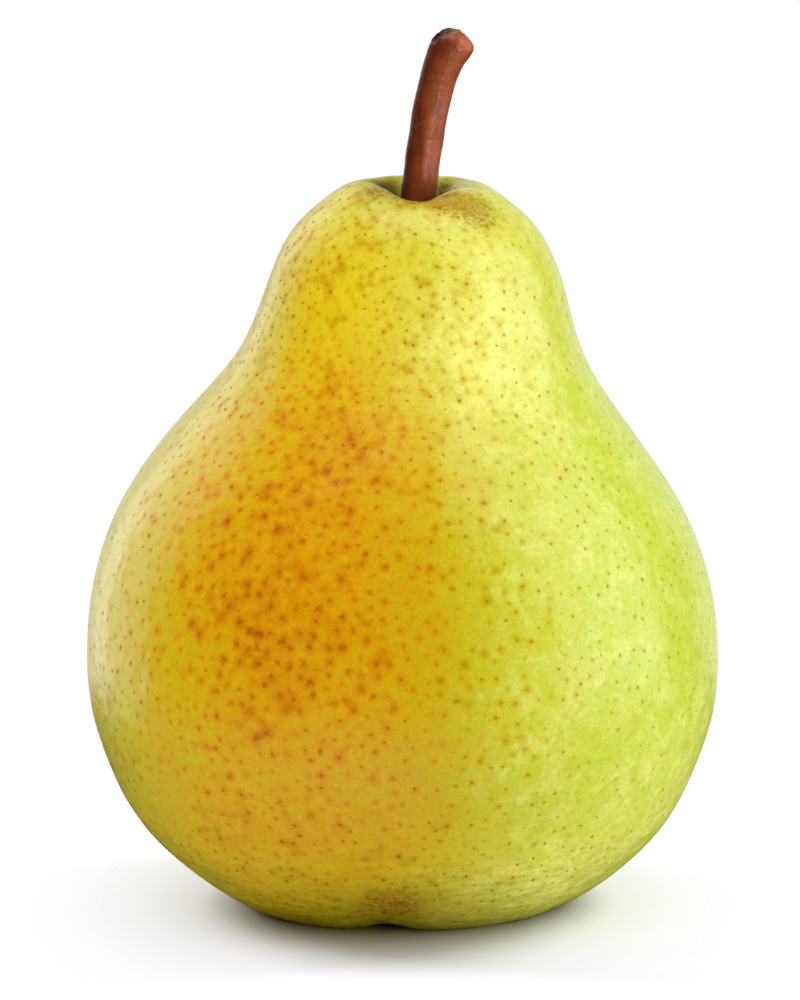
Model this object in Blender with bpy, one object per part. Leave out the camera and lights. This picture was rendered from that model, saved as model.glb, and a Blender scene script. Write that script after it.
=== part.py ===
"""A ripe pear standing on its blossom end, with its stem, five dried sepals and a stamen tuft.

Sizes are in millimetres and become metres as each mesh is made. +Z is up, and -Y is the front.
Azimuths are in radians round +Z, from +X towards +Y. The origin is the middle of the pear's box,
on the surface that it stands on.
"""

import math

import bmesh
import bpy
import numpy as np

MM = 0.001

# The fruit's half section as (radius, height), from the middle of the calyx cup underneath,
# out over the rim that it stands on, up the belly and the neck, and into the stem cavity.
CALYX_CUP = [(0.0, 8.6), (1.7, 8.4), (2.5, 7.0), (3.6, 5.9)]
CALYX_BASIN = [(6.0, 4.9), (9.0, 3.0), (12.4, 0.7)]
STANDING_RIM = [(15.5, -0.35), (19.8, 1.1)]
BELLY = [(24.2, 4.2), (28.7, 8.5), (32.4, 15.0), (34.6, 22.0), (35.0, 29.0), (33.7, 38.0)]
NECK = [(29.1, 48.0), (23.5, 55.5), (19.1, 62.0), (16.7, 69.0), (14.1, 75.0)]
STEM_CAVITY = [(9.8, 79.1), (6.2, 80.5), (4.1, 79.5), (3.1, 77.8), (2.4, 76.2)]
FRUIT_OUTLINE = CALYX_CUP + CALYX_BASIN + STANDING_RIM + BELLY + NECK + STEM_CAVITY
RINGS_PER_SPAN = 2
FRUIT_SIDES = 64

# The blind socket that the stem is rooted in, straight down from the foot of the cavity.
SOCKET_RADIUS = 2.4
SOCKET_FLOOR = 72.0

# The neck stands a little to the right of the belly, and the foot to the right and the front.
NECK_LEAN = 1.8
LEAN_STARTS = 48.0
LEAN_ENDS = 71.0
FOOT_ASIDE = (0.6, -0.8)
FOOT_ENDS = 14.0

# Slow waves round the skin: (depth, waves round, turn in radians per mm of height, phase).
SKIN_WAVES = [(0.22, 2, 0.05, 0.6), (0.20, 3, -0.06, 2.4), (0.12, 5, 0.02, 1.3)]
WAVES_START = 4.0
WAVES_FULL = 14.0

# Five furrows cross the rim that the fruit stands on, and leave five lobes between them.
FURROWS = 5
FIRST_FURROW = math.radians(-97.5)
FURROW_DEPTHS = [0.9, 0.3, 0.8, 0.6, 0.5]
FURROW_HALF_WIDTH = math.radians(10.0)
FURROW_RADIUS = 14.5
FURROW_REACH = 5.0

# The cavity's rim swells beside the stem and dips in front of it: (azimuth, half width, height).
RIM_SWELLING = (math.radians(207.0), math.radians(30.0), 0.5)
RIM_DIP = (math.radians(271.0), math.radians(28.0), -1.25)
RIM_RADIUS = 5.8
RIM_REACH = 3.0

# The stem's centre line as (x, y, z), from its root in the socket to its torn end.
STEM_LINE = [
    (1.8, 0.0, 72.4),
    (1.8, 0.0, 75.6),
    (2.0, 0.0, 79.0),
    (2.5, -0.1, 83.4),
    (3.2, -0.3, 88.0),
    (4.1, -0.5, 92.0),
    (4.9, -0.7, 94.5),
    (5.8, -0.9, 96.5),
]
# The stem's radius as (share of its length, radius): it thickens towards its torn end.
STEM_RADII = [(0.0, 1.9), (0.2, 2.0), (0.4, 1.95), (0.6, 1.95), (0.8, 2.1), (0.92, 2.3), (1.0, 2.2)]
STEM_RINGS = 30
STEM_SIDES = 24
# The end closes over a low worn dome: (share of the radius, height above the last ring).
STEM_END = [(0.86, 0.3), (0.5, 0.5), (0.2, 0.4)]
# A heel of old bark sticks out on the right of the end, and a knuckle on its left, as
# (azimuth, half width, height).
HEEL = (math.radians(-15.0), math.radians(50.0), 0.4)
KNUCKLE = (math.radians(190.0), math.radians(35.0), 0.25)
BARK_SWELL_STARTS = 0.88

# The calyx parts stand round the pear's middle at this height.
CALYX_LEVEL = 6.0

SEPALS = 5
FIRST_SEPAL = math.radians(-60.0)
# A sepal's centre line as (radius, height): it hangs out of the calyx cup and curls outwards.
SEPAL_LINE = [(3.5, 5.1), (4.6, 4.3), (5.8, 3.3), (6.9, 2.4), (7.9, 2.0)]
SEPAL_WIDTHS = [(0.0, 2.5), (0.3, 2.6), (0.65, 1.7), (1.0, 0.5)]
SEPAL_THICKNESS = 0.5
SEPAL_RINGS = 9
SEPAL_SIDES = 8
# Each sepal differs a little: (turn aside in radians, share of the full length).
SEPAL_HABITS = [(0.05, 1.0), (-0.08, 0.92), (0.02, 0.85), (0.1, 1.0), (-0.04, 0.95)]

# The withered stamens and style make a ribbed tuft in the calyx cup: (radius, height).
TUFT_OUTLINE = [(0.9, 8.1), (1.4, 7.3), (1.75, 5.9), (1.5, 4.7), (0.8, 4.0)]
TUFT_TOP = 8.2
TUFT_BOTTOM = 3.8
TUFT_RIBS = 8
TUFT_RIB_DEPTH = 0.12
TUFT_SIDES = 32
TUFT_RINGS = 12


def remove_all_objects():
    for old in list(bpy.data.objects):
        bpy.data.objects.remove(old, do_unlink=True)


def natural_spline(points, where):
    """Points on the smooth curve through the given points; 0, 1, 2 ... in where are the points."""
    points = np.asarray(points, float)
    count = len(points)
    chords = np.linalg.norm(np.diff(points, axis=0), axis=1)
    system = np.eye(count)
    bends = np.zeros_like(points)
    for i in range(1, count - 1):
        before, after = chords[i - 1], chords[i]
        system[i, i - 1 : i + 2] = before, 2 * (before + after), after
        slope_change = (points[i + 1] - points[i]) / after - (points[i] - points[i - 1]) / before
        bends[i] = 6 * slope_change
    bends = np.linalg.solve(system, bends)
    span = np.clip(np.floor(where).astype(int), 0, count - 2)
    ahead = (np.asarray(where) - span)[:, None]
    behind = 1 - ahead
    curve = (behind**3 - behind) * bends[span] + (ahead**3 - ahead) * bends[span + 1]
    straight = behind * points[span] + ahead * points[span + 1]
    return straight + curve * chords[span][:, None] ** 2 / 6


def fade(value, low, high):
    """0 below low, 1 above high, and a smooth rise between them."""
    share = np.clip((value - low) / (high - low), 0, 1)
    return share * share * (3 - 2 * share)


def read_off(table, share):
    """A size read off a short table of (share, size) pairs."""
    shares, sizes = zip(*table)
    return np.interp(share, shares, sizes)


def round_angles(sides):
    return np.arange(sides) * 2 * math.pi / sides


def hump(azimuth, middle, half_width, height):
    """A smooth hump round one azimuth, or a dip where its height is below 0."""
    aside = np.arctan2(np.sin(azimuth - middle), np.cos(azimuth - middle))
    return height * np.exp(-((aside / half_width) ** 2))


def furrow_lift(azimuth):
    """How far each furrow lifts the standing rim at an azimuth."""
    lift = np.zeros_like(azimuth)
    for number, depth in enumerate(FURROW_DEPTHS):
        middle = FIRST_FURROW + number * 2 * math.pi / FURROWS
        lift += hump(azimuth, middle, FURROW_HALF_WIDTH, depth)
    return lift


def about_middle_line(radius, azimuth, level, height):
    """Points at a height, round the place where the pear's own middle is at a level."""
    foot = 1 - fade(level, 0.0, FOOT_ENDS)
    neck = fade(level, LEAN_STARTS, LEAN_ENDS)
    x = FOOT_ASIDE[0] * foot + NECK_LEAN * neck + radius * np.cos(azimuth)
    y = FOOT_ASIDE[1] * foot + radius * np.sin(azimuth)
    return np.stack(np.broadcast_arrays(x, y, height), axis=-1)


def fruit_surface(radius, height, azimuth):
    """The skin over one point of the half section, turned to each azimuth."""
    on_the_body = fade(radius, WAVES_START, WAVES_FULL)
    radius = radius + 0 * azimuth
    for depth, waves, turn, phase in SKIN_WAVES:
        radius = radius + on_the_body * depth * np.sin(waves * azimuth + turn * height + phase)

    underneath = 1 - fade(height, 4.0, 12.0)
    at_the_foot = underneath * np.exp(-(((radius - FURROW_RADIUS) / FURROW_REACH) ** 2))
    beside_stem = fade(height, 73.0, 78.0) * fade(radius, 2.5, 4.0)
    at_the_rim = beside_stem * np.exp(-(((radius - RIM_RADIUS) / RIM_REACH) ** 2))
    rim = hump(azimuth, *RIM_SWELLING) + hump(azimuth, *RIM_DIP)
    lifted = height + at_the_foot * furrow_lift(azimuth) + at_the_rim * rim

    standing = np.maximum(lifted, 0.0)
    return about_middle_line(radius, azimuth, height, standing)


def fruit_rings():
    spans = len(FRUIT_OUTLINE) - 1
    where = np.arange(1, spans * RINGS_PER_SPAN + 1) / RINGS_PER_SPAN
    outline = natural_spline(FRUIT_OUTLINE, where)
    socket = [(SOCKET_RADIUS, (SOCKET_FLOOR + outline[-1][1]) / 2), (SOCKET_RADIUS, SOCKET_FLOOR)]
    azimuth = round_angles(FRUIT_SIDES)
    section = list(outline) + socket
    return [fruit_surface(radius, height, azimuth) for radius, height in section]


def swept_rings(line, ring_points):
    """Rings across a centre line; ring_points gives (right, back) for a share of its length."""
    rings = []
    ahead = np.gradient(line, axis=0)
    ahead /= np.linalg.norm(ahead, axis=1)[:, None]
    right = np.cross([0.0, 1.0, 0.0], ahead)
    right /= np.linalg.norm(right, axis=1)[:, None]
    back = np.cross(ahead, right)
    for i, middle in enumerate(line):
        across, deep = ring_points(i / (len(line) - 1))
        rings.append(middle + np.outer(across, right[i]) + np.outer(deep, back[i]))
    return rings


def bark_swelling(azimuth, share):
    """The heel and the knuckle that stick out round the stem's torn end."""
    out = np.zeros_like(azimuth)
    for swelling in (HEEL, KNUCKLE):
        out += hump(azimuth, *swelling)
    return out * fade(share, BARK_SWELL_STARTS, 1.0)


def stem_rings():
    where = np.linspace(0, len(STEM_LINE) - 1, STEM_RINGS)
    line = natural_spline(STEM_LINE, where)
    azimuth = round_angles(STEM_SIDES)

    def ring_points(share):
        radius = read_off(STEM_RADII, share) + bark_swelling(azimuth, share)
        return radius * np.cos(azimuth), radius * np.sin(azimuth)

    rings = swept_rings(line, ring_points)
    last = rings[-1]
    middle = last.mean(axis=0)
    ahead = line[-1] - line[-2]
    ahead /= np.linalg.norm(ahead)
    for share, height in STEM_END:
        rings.append(middle + (last - middle) * share + ahead * height)
    return rings


def sepal_rings(number):
    turn, length = SEPAL_HABITS[number]
    where = np.linspace(0, (len(SEPAL_LINE) - 1) * length, SEPAL_RINGS)
    section = natural_spline(SEPAL_LINE, where)
    line = np.stack([section[:, 0], 0 * section[:, 0], section[:, 1]], axis=1)
    around = round_angles(SEPAL_SIDES)

    def ring_points(share):
        width = read_off(SEPAL_WIDTHS, share) / 2
        thickness = SEPAL_THICKNESS / 2 * (1 - 0.5 * share)
        return thickness * np.cos(around), width * np.sin(around)

    azimuth = FIRST_SEPAL + number * 2 * math.pi / SEPALS + turn
    rings = []
    for out, aside, height in (ring.T for ring in swept_rings(line, ring_points)):
        swing = azimuth + np.arctan2(aside, out)
        rings.append(about_middle_line(np.hypot(out, aside), swing, CALYX_LEVEL, height))
    return rings


def tuft_rings():
    where = np.linspace(0, len(TUFT_OUTLINE) - 1, TUFT_RINGS)
    azimuth = round_angles(TUFT_SIDES)
    ribs = 1 - TUFT_RIB_DEPTH * (0.5 + 0.5 * np.cos(TUFT_RIBS * azimuth))
    outline = natural_spline(TUFT_OUTLINE, where)
    return [about_middle_line(radius * ribs, azimuth, CALYX_LEVEL, height) for radius, height in outline]


def make_material(name, colour, roughness):
    material = bpy.data.materials.new(name)
    material.use_nodes = True
    shader = material.node_tree.nodes["Principled BSDF"]
    shader.inputs["Base Color"].default_value = (*colour, 1.0)
    shader.inputs["Roughness"].default_value = roughness
    shader.inputs["Metallic"].default_value = 0.0
    return material


def bridge(mesh, ring, following):
    for i in range(len(ring)):
        j = (i + 1) % len(ring)
        mesh.faces.new((ring[i], ring[j], following[j], following[i]))


def close(mesh, ring, tip):
    """Close an open end with a fan of triangles from its middle."""
    for i in range(len(ring)):
        mesh.faces.new((ring[i], ring[(i + 1) % len(ring)], tip))


def make_solid(name, rings, first_tip, last_tip, material):
    """One closed object skinned over rings of points, with a point at each end."""
    mesh = bmesh.new()
    loops = [[mesh.verts.new(point * MM) for point in ring] for ring in rings]
    for ring, following in zip(loops, loops[1:]):
        bridge(mesh, ring, following)
    close(mesh, loops[0], mesh.verts.new(first_tip * MM))
    close(mesh, loops[-1], mesh.verts.new(last_tip * MM))
    bmesh.ops.recalc_face_normals(mesh, faces=mesh.faces)
    data = bpy.data.meshes.new(name)
    mesh.to_mesh(data)
    mesh.free()
    data.shade_smooth()
    data.materials.append(material)
    solid = bpy.data.objects.new(name, data)
    bpy.context.collection.objects.link(solid)


def make_fruit():
    skin = make_material("pear_skin", (0.62, 0.52, 0.06), 0.42)
    cup_height = CALYX_CUP[0][1]
    cup_middle = about_middle_line(0.0, 0.0, cup_height, cup_height)
    socket_middle = about_middle_line(0.0, 0.0, SOCKET_FLOOR, SOCKET_FLOOR)
    make_solid("fruit", fruit_rings(), cup_middle, socket_middle, skin)


def make_stem():
    bark = make_material("stem_bark", (0.20, 0.065, 0.022), 0.5)
    rings = stem_rings()
    make_solid("stem", rings, rings[0].mean(axis=0), rings[-1].mean(axis=0), bark)


def make_sepals():
    dried = make_material("dried_sepal", (0.10, 0.065, 0.035), 0.8)
    for number in range(SEPALS):
        rings = sepal_rings(number)
        root, point = rings[0].mean(axis=0), rings[-1].mean(axis=0)
        make_solid(f"sepal_{number + 1}", rings, root, point, dried)


def make_tuft():
    withered = make_material("withered_stamens", (0.07, 0.045, 0.025), 0.85)
    top = about_middle_line(0.0, 0.0, CALYX_LEVEL, TUFT_TOP)
    bottom = about_middle_line(0.0, 0.0, CALYX_LEVEL, TUFT_BOTTOM)
    make_solid("stamen_tuft", tuft_rings(), top, bottom, withered)


def centre_on_the_origin():
    """Move the whole pear sideways, so that the middle of its box is over the origin."""
    solids = list(bpy.context.scene.objects)
    points = np.array([vertex.co[:2] for solid in solids for vertex in solid.data.vertices])
    aside = (points.min(axis=0) + points.max(axis=0)) / 2
    for solid in solids:
        for vertex in solid.data.vertices:
            vertex.co.x -= aside[0]
            vertex.co.y -= aside[1]


remove_all_objects()
make_fruit()
make_stem()
make_sepals()
make_tuft()
centre_on_the_origin()
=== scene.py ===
"""The looks of a ripe pear with its stem, five dried sepals and withered stamens.

Shapes are worked out in millimetres and become metres as each mesh is made. +Z is up, and -Y is
the front. Azimuths are in radians round +Z, from +X towards +Y.
"""

import math

import bpy
import numpy as np
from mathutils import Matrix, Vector, kdtree


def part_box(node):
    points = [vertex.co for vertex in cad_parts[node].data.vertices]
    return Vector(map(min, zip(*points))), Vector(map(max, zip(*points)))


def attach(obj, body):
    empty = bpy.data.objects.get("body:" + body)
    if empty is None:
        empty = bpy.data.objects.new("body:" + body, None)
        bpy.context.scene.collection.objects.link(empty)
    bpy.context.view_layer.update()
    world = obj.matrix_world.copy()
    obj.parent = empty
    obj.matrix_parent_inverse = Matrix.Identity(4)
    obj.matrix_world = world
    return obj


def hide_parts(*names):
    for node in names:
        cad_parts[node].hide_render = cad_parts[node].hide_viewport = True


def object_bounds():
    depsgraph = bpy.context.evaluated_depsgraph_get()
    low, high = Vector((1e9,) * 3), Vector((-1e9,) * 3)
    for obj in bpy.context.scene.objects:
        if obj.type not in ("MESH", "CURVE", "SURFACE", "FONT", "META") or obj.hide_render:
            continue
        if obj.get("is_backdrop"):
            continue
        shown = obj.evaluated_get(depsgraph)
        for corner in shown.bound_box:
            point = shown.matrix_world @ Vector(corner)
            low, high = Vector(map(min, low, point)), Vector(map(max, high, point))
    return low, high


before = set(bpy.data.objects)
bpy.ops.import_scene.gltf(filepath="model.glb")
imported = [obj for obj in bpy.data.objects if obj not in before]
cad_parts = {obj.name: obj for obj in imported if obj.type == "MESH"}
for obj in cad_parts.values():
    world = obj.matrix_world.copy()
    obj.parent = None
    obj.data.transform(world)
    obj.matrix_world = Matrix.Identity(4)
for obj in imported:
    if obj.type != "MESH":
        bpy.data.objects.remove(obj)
CAD_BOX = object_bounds()

MM = 0.001
BODY = "root"

# ---------------------------------------------------------------- the pear's shape

# The fruit's half section as (radius, height), from the middle of the calyx cup underneath,
# out over the rim that it stands on, up the belly and the neck, and down the stem cavity.
CALYX_CUP = [(0.0, 8.6), (1.7, 8.4), (2.5, 7.0), (3.6, 5.9)]
CALYX_BASIN = [(6.0, 4.9), (9.0, 3.0), (12.4, 0.7)]
STANDING_RIM = [(15.5, -0.35), (19.8, 1.1)]
BELLY = [(24.2, 4.2), (28.7, 8.5), (32.4, 15.0), (34.6, 22.0), (35.0, 29.0), (33.7, 38.0)]
NECK = [(29.1, 48.0), (23.5, 55.5), (19.1, 62.0), (16.7, 69.0), (14.1, 75.0)]
STEM_CAVITY = [(9.8, 79.1), (6.2, 80.5), (4.1, 79.5), (3.1, 77.8), (2.4, 76.2)]
UNDER_THE_STEM = [(1.7, 75.2), (0.5, 74.8)]
FRUIT_OUTLINE = CALYX_CUP + CALYX_BASIN + STANDING_RIM + BELLY + NECK + STEM_CAVITY + UNDER_THE_STEM
FRUIT_SIDES = 320
SECTION_SAMPLES = 6000
FINEST_RING = 0.36
COARSEST_RING = 0.62
SEAM = math.radians(90)

NECK_LEAN = 1.8
LEAN_STARTS = 48.0
LEAN_ENDS = 71.0
FOOT_ASIDE = (0.6, -0.8)
FOOT_ENDS = 14.0

# Slow waves round the fruit: (depth, waves round, turn for each mm of height, phase).
SKIN_WAVES = [(0.22, 2, 0.05, 0.6), (0.20, 3, -0.06, 2.4), (0.12, 5, 0.02, 1.3)]
WAVES_START = 4.0
WAVES_FULL = 14.0

FURROWS = 5
FIRST_FURROW = math.radians(-97.5)
FURROW_DEPTHS = [0.9, 0.3, 0.8, 0.6, 0.5]
FURROW_HALF_WIDTH = math.radians(10.0)
FURROW_RADIUS = 14.5
FURROW_REACH = 5.0
UNDERNEATH = (4.0, 12.0)
# Each furrow goes on up the outside as a shallow dent, between these radii and heights.
DENT_SHARE = 0.55
DENT_HALF_WIDTH = math.radians(9.0)
DENT_RADII = (FURROW_RADIUS, 20.0)
DENT_HEIGHTS = (2.0, 15.0)

# The cavity's rim is swollen on one side and dips at the front: (azimuth, half width, height).
RIM_SWELLING = (math.radians(207.0), math.radians(30.0), 0.5)
RIM_DIP = (math.radians(271.0), math.radians(28.0), -1.25)
RIM_RADIUS = 5.8
RIM_REACH = 3.0
RIM_HEIGHTS = (73.0, 78.0)
RIM_RADII = (2.5, 4.0)

# Folds that run in towards the calyx: (depth, folds round, phase). They start between the inner
# radii and die out between the outer ones.
BASIN_FOLDS = [(0.16, 13, 0.4), (0.13, 22, 2.0), (0.08, 37, 1.1)]
BASIN_INNER = (2.5, 6.0)
BASIN_OUTER = (8.0, 14.0)
# Folds that run down into the stem cavity.
CAVITY_FOLDS = [(0.05, 7, 0.9), (0.03, 12, 2.7), (0.015, 19, 0.3)]
CAVITY_HEIGHTS = (74.0, 77.0)
CAVITY_INNER = (1.8, 3.2)
CAVITY_OUTER = (5.5, 9.0)
# Slow unevenness of the flesh under the skin: (height, shortest and longest wave, seed).
FLESH_LUMPS = [(0.05, 14.0, 24.0, 0), (0.022, 6.0, 10.0, 1), (0.007, 2.6, 4.2, 2)]
FLESH_LUMPS_RADII = (2.0, 8.0)

STEM_LINE = [
    (1.8, 0.0, 72.4),
    (1.8, 0.0, 75.6),
    (2.0, 0.0, 79.0),
    (2.5, -0.1, 83.4),
    (3.2, -0.3, 88.0),
    (4.1, -0.5, 92.0),
    (4.9, -0.7, 94.5),
    (5.8, -0.9, 96.5),
]
STEM_RADII = [(0.0, 1.9), (0.2, 2.0), (0.4, 1.95), (0.6, 1.95), (0.8, 2.1), (0.92, 2.3), (1.0, 2.2)]
STEM_RINGS = 190
STEM_SIDES = 96
# The broken end as (share of the stem's radius, height) from its edge in.
STEM_END = [(0.97, 0.25), (0.9, 0.5), (0.8, 0.75), (0.66, 0.98), (0.5, 1.1), (0.33, 1.08), (0.18, 1.02)]
STEM_END += [(0.07, 0.98)]
# Its left shoulder is worn round.
SHOULDER_DROP = 0.3
SHOULDER_NARROWING = 0.1
SHOULDER_STARTS = 0.78
SHOULDER_RADII = (0.2, 1.1)
# The bark swells into a heel on the right of the end: (azimuth, half width, height).
HEEL = (math.radians(-15.0), math.radians(50.0), 0.35)
BARK_SWELL_STARTS = 0.88
# Ridges that run along the bark: (depth, ridges round, turn along the stem, phase).
BARK_RIDGES = [(0.03, 3, 1.1, 0.4), (0.012, 7, -1.6, 1.9), (0.006, 16, 2.2, 0.7)]
# Wear of the bark and rougher wear of its broken end: (height, shortest and longest wave, seed).
BARK_WEAR = [(0.05, 3.0, 6.0, 21), (0.01, 0.8, 1.5, 22)]
BREAK_WEAR = [(0.12, 0.9, 1.8, 23), (0.04, 0.4, 0.7, 24)]
BREAK_HEIGHTS = (95.0, 96.8)

# Places on the stem whose bark has a colour of its own.
STEM_FOOT = (2.2, 0.0, 78.0)
STEM_HEEL_SPOT = (6.6, -1.8, 96.0)
STEM_TORN_SPOT = (4.5, -0.8, 97.5)
BARK_COLOURS = [
    (0.2, (0.075, 0.012, 0.004)),
    (0.45, (0.17, 0.031, 0.006)),
    (0.65, (0.26, 0.056, 0.010)),
    (0.9, (0.36, 0.10, 0.022)),
]
HEEL_COLOUR = (0.34, 0.068, 0.016, 1.0)
TORN_COLOUR = (0.045, 0.012, 0.006, 1.0)
FLECK_COLOUR = (0.50, 0.36, 0.27, 1.0)
# The painted shade and dim painted purple sheen of the stem's left side start and are full at these
# distances left of the middle line.
LEFT_SIDE = (-0.2, 1.7)
BY_PAINTED_LEFT_SHADE = (0.45, 0.38, 0.8, 1.0)

CALYX_LEVEL = 6.0
SEPALS = 5
FIRST_SEPAL = math.radians(-60.0)
SEPAL_LINE = [(3.5, 5.1), (4.6, 4.3), (5.8, 3.3), (6.9, 2.4), (7.9, 2.0)]
SEPAL_WIDTHS = [(0.0, 2.5), (0.3, 2.6), (0.65, 1.7), (1.0, 0.25)]
SEPAL_THICKNESS = 0.34
SEPAL_CUPPING = 0.175
SEPAL_CURL = 0.12
SEPAL_RINGS = 44
SEPAL_SIDES = 28
# How far each sepal turns aside, and its length for a length of 1.
SEPAL_HABITS = [(0.05, 1.0), (-0.08, 0.92), (0.02, 0.85), (0.1, 1.0), (-0.04, 0.95)]

# Stamens stand round a spiral in the calyx cup, and hang from its roof to their low ends.
FILAMENTS = 22
FILAMENT_ROOT = 7.9
FILAMENT_RADIUS = 0.16
FILAMENT_RINGS = 14
FILAMENT_SIDES = 8
FILAMENT_TURN = 2.4
FILAMENT_TURN_ERROR = 0.2
TUFT_RADIUS = 1.2
TUFT_SPREAD = (0.9, 1.35)
TUFT_LOW_ENDS = (4.0, 5.0)
TUFT_SEED = 5
SEPAL_DARK, SEPAL_LIGHT = (0.045, 0.026, 0.012), (0.20, 0.13, 0.065)
STAMEN_DARK, STAMEN_LIGHT = (0.03, 0.017, 0.008), (0.13, 0.08, 0.04)


def natural_spline(points, where):
    """Points on the smooth curve through the given points; 0, 1, 2 ... in where are the points."""
    points = np.asarray(points, float)
    count = len(points)
    chords = np.linalg.norm(np.diff(points, axis=0), axis=1)
    system = np.eye(count)
    bends = np.zeros_like(points)
    for i in range(1, count - 1):
        before, after = chords[i - 1], chords[i]
        system[i, i - 1 : i + 2] = before, 2 * (before + after), after
        slope_change = (points[i + 1] - points[i]) / after - (points[i] - points[i - 1]) / before
        bends[i] = 6 * slope_change
    bends = np.linalg.solve(system, bends)
    span = np.clip(np.floor(where).astype(int), 0, count - 2)
    ahead = (np.asarray(where) - span)[:, None]
    behind = 1 - ahead
    curve = (behind**3 - behind) * bends[span] + (ahead**3 - ahead) * bends[span + 1]
    straight = behind * points[span] + ahead * points[span + 1]
    return straight + curve * chords[span][:, None] ** 2 / 6


def fade(value, low, high):
    """0 below low, 1 above high, and a smooth rise between them."""
    share = np.clip((value - low) / (high - low), 0, 1)
    return share * share * (3 - 2 * share)


def read_off(table, share):
    """A size read off a short table of (share, size) pairs."""
    shares, sizes = zip(*table)
    return np.interp(share, shares, sizes)


def round_angles(sides, start=0.0):
    """The azimuths of the sides of a ring."""
    return start + np.arange(sides) * 2 * math.pi / sides


def hump(azimuth, middle, half_width, height):
    """A smooth hump round one azimuth, or a dip where its height is below 0."""
    aside = np.arctan2(np.sin(azimuth - middle), np.cos(azimuth - middle))
    return height * np.exp(-((aside / half_width) ** 2))


def folds(azimuth, waves):
    """Uneven folds round an axis, from (depth, folds round, phase) triples."""
    return sum(depth * np.sin(count * azimuth + phase) for depth, count, phase in waves)


def furrow_lift(azimuth, half_width):
    """How high the furrows between the lobes of the base rise round the pear."""
    lift = np.zeros_like(azimuth)
    for number, depth in enumerate(FURROW_DEPTHS):
        middle = FIRST_FURROW + number * 2 * math.pi / FURROWS
        lift += hump(azimuth, middle, half_width, depth)
    return lift


def about_middle_line(radius, azimuth, level, height):
    """Points at a height, round the place where the pear's own middle is at a level."""
    foot = 1 - fade(level, 0.0, FOOT_ENDS)
    neck = fade(level, LEAN_STARTS, LEAN_ENDS)
    x = FOOT_ASIDE[0] * foot + NECK_LEAN * neck + radius * np.cos(azimuth)
    y = FOOT_ASIDE[1] * foot + radius * np.sin(azimuth)
    return np.stack(np.broadcast_arrays(x, y, height), axis=-1)


def smooth_noise(points, shortest, longest, seed, waves=24):
    """A smooth random field from about -1 to 1, made of waves of the given lengths."""
    chance = np.random.default_rng(seed)
    field = np.zeros(points.shape[:-1])
    for _ in range(waves):
        direction = chance.normal(size=3)
        direction *= 2 * math.pi / (np.linalg.norm(direction) * chance.uniform(shortest, longest))
        field += np.sin(points @ direction + chance.uniform(0, 2 * math.pi))
    return field * math.sqrt(2 / waves) * 0.6


def layered_noise(points, layers):
    """Random fields of (height, shortest and longest wave, seed), added up."""
    return sum(height * smooth_noise(points, *waves_and_seed) for height, *waves_and_seed in layers)


def directions(line):
    """Unit vectors along a line of points."""
    ahead = np.gradient(line, axis=0)
    return ahead / np.linalg.norm(ahead, axis=1)[:, None]


def grid_normals(grid):
    """Unit normals of a grid of rings whose sides run round."""
    along = np.gradient(grid, axis=0)
    around = np.roll(grid, -1, axis=1) - np.roll(grid, 1, axis=1)
    normals = np.cross(around, along)
    return normals / np.maximum(np.linalg.norm(normals, axis=-1, keepdims=True), 1e-9)


# ---------------------------------------------------------------- meshes


def grid_faces(rings, sides):
    """Quads between the rings of a grid, then a fan at each end round one more point."""
    ring, side = np.meshgrid(np.arange(rings - 1), np.arange(sides), indexing="ij")
    following = (side + 1) % sides
    low, high = ring * sides, (ring + 1) * sides
    quads = np.stack([low + side, low + following, high + following, high + side], axis=-1)
    faces = quads.reshape(-1, 4).tolist()
    first, last = rings * sides, rings * sides + 1
    top = (rings - 1) * sides
    for i in range(sides):
        j = (i + 1) % sides
        faces.append([j, i, first])
    for i in range(sides):
        j = (i + 1) % sides
        faces.append([top + i, top + j, last])
    return faces


def grid_mesh(name, grid):
    """A closed smooth mesh over a grid of rings in mm, with a point in the middle of each end."""
    rings, sides = grid.shape[:2]
    points = np.concatenate([grid.reshape(-1, 3), [grid[0].mean(axis=0)], [grid[-1].mean(axis=0)]])
    mesh = bpy.data.meshes.new(name)
    mesh.from_pydata((points * MM).tolist(), [], grid_faces(rings, sides))
    mesh.shade_smooth()
    return mesh


def unwrap_grid(mesh, grid):
    """A UV map with the way round the grid as its width and the way along it as its height."""
    rings, sides = grid.shape[:2]
    steps = np.linalg.norm(np.diff(grid, axis=0), axis=-1).mean(axis=1)
    along = np.concatenate([[0.0], np.cumsum(steps)])
    along = 0.01 + 0.98 * along / along[-1]
    corners = np.empty(len(mesh.loops), int)
    mesh.loops.foreach_get("vertex_index", corners)
    ring, side = np.divmod(np.minimum(corners, rings * sides - 1), sides)
    quads = (rings - 1) * sides
    u = side.astype(float)
    v = along[ring]
    quad_side = np.tile(np.arange(sides), rings - 1)
    u[: quads * 4] = (quad_side[:, None] + np.array([0, 1, 1, 0])).ravel()
    fan_side = np.arange(sides)
    for end, order, height in ((0, (1, 0, 0.5), 0.0), (1, (0, 1, 0.5), 1.0)):
        start = quads * 4 + end * sides * 3
        u[start : start + sides * 3] = (fan_side[:, None] + np.array(order)).ravel()
        v[start + 2 : start + sides * 3 : 3] = height
    layer = mesh.uv_layers.new(name="OFBake")
    layer.data.foreach_set("uv", np.stack([u / sides, v], axis=-1).ravel())


def read_places(items, name):
    """A place in mm for each point or face of a mesh."""
    values = np.empty(len(items) * 3)
    items.foreach_get(name, values)
    return values.reshape(-1, 3) / MM


def give_value(mesh, name, domain, values):
    """Store one number or one vector for each point or face."""
    vector = values.ndim == 2
    kind = "FLOAT_VECTOR" if vector else "FLOAT"
    layer = mesh.attributes.new(name, kind, domain)
    layer.data.foreach_set("vector" if vector else "value", values.astype(np.float32).ravel())


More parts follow.
